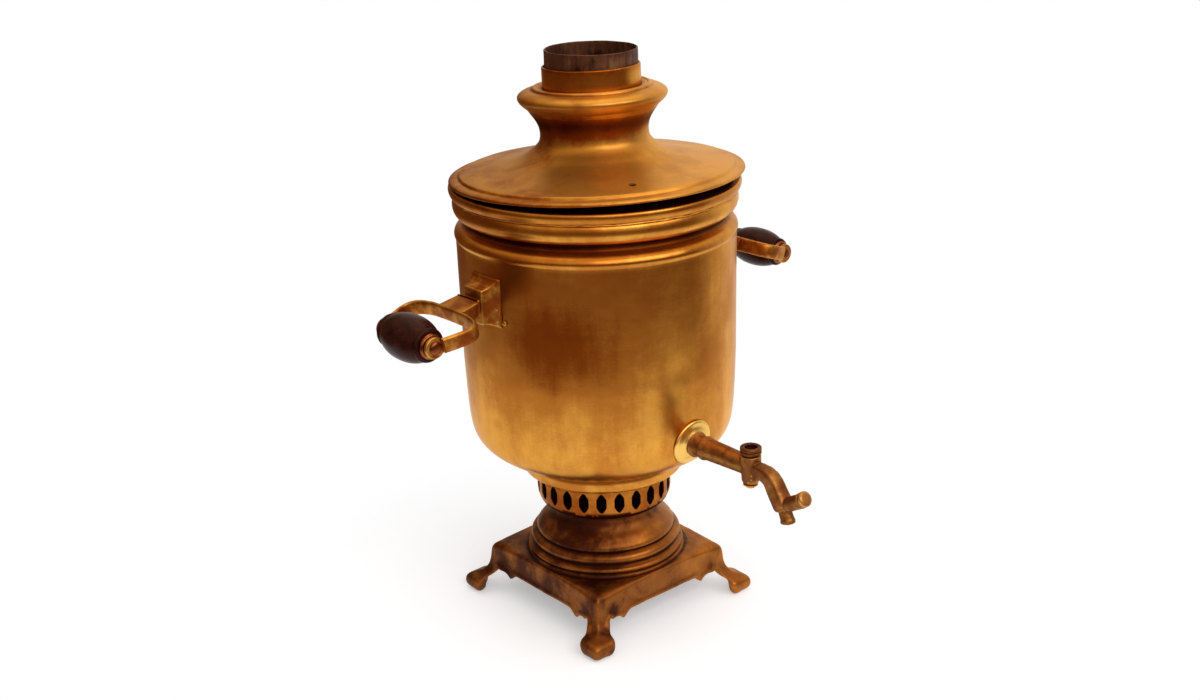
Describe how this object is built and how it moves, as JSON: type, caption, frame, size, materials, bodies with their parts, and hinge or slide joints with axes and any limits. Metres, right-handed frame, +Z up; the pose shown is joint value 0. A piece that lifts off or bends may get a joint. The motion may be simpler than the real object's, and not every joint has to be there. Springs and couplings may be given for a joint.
{
  "type": "charcoal samovar",
  "caption": "Jar-shaped charcoal water boiler: a fire tube through the middle, a lid with a collar round the flue, a tap with a turning key, wooden side grips and a footed base.",
  "frame": {"origin": "middle of the bounding box at floor level; the axis of the jar lies 52.0 mm behind it", "axes": "+Z up along the axis of the jar, -Y towards the tap, -X and +X towards the two handles"},
  "size_m": [0.3684, 0.3152, 0.427],
  "materials": {
    "aged_brass": "satin, warm brown patina",
    "pale_brass": "satin, light patina",
    "bright_brass": "polished",
    "brown_bronze": "dark red-brown patina on cast brass",
    "tap_bronze": "handled brown cast brass",
    "sooty_iron": "dull, sooty",
    "dark_wood": "dark stained and oiled",
    "red_leather": "wet leather"
  },
  "bodies": {
    "boiler": {"base_plinth": "brown_bronze", "pedestal": "brown_bronze", "ash_pan": "sooty_iron", "blower_ring": "aged_brass", "body_shell": "aged_brass", "rim_band": "aged_brass", "rim_ring": "aged_brass", "fire_tube": "pale_brass", "grate": "sooty_iron", "flue_stub": "sooty_iron", "tap_rosette": "bright_brass", "tap_body": "tap_bronze", "spout_plug": "tap_bronze", "tap_gasket": "red_leather", "tap_nut": "pale_brass", "left_handle_bracket": "aged_brass", "left_handle_loop": "aged_brass", "left_grip_rod": "tap_bronze", "left_rivet_front": "pale_brass", "left_rivet_back": "pale_brass", "right_handle_bracket": "aged_brass", "right_handle_loop": "aged_brass", "right_grip_rod": "tap_bronze", "right_rivet_front": "pale_brass", "right_rivet_back": "pale_brass"},
    "lid": {"lid_plate": "pale_brass", "lid_neck_ring": "pale_brass", "lid_collar": "pale_brass", "lid_skirt": "pale_brass"},
    "key": {"tap_key": "tap_bronze", "tap_key_washer": "pale_brass", "tap_key_screw": "pale_brass"},
    "left_grip_body": {"left_grip": "dark_wood", "left_ferrule_front": "tap_bronze", "left_ferrule_back": "tap_bronze"},
    "right_grip_body": {"right_grip": "dark_wood", "right_ferrule_front": "tap_bronze", "right_ferrule_back": "tap_bronze"}
  },
  "joints": [
    {"name": "lid_lift", "type": "slide", "parent": "boiler", "child": "lid", "axis": [0, 0, 1], "range_m": [0, 0.11]},
    {"name": "key_turn", "type": "hinge", "parent": "boiler", "child": "key", "pos_m": [0, -0.10455, 0.155], "axis": [0, 0, 1], "continuous": true},
    {"name": "left_grip_spin", "type": "hinge", "parent": "boiler", "child": "left_grip_body", "pos_m": [-0.167, 0.05195, 0.254], "axis": [0, 1, 0], "continuous": true},
    {"name": "right_grip_spin", "type": "hinge", "parent": "boiler", "child": "right_grip_body", "pos_m": [0.1705, 0.05195, 0.2464], "axis": [0, 1, 0], "continuous": true}
  ]
}
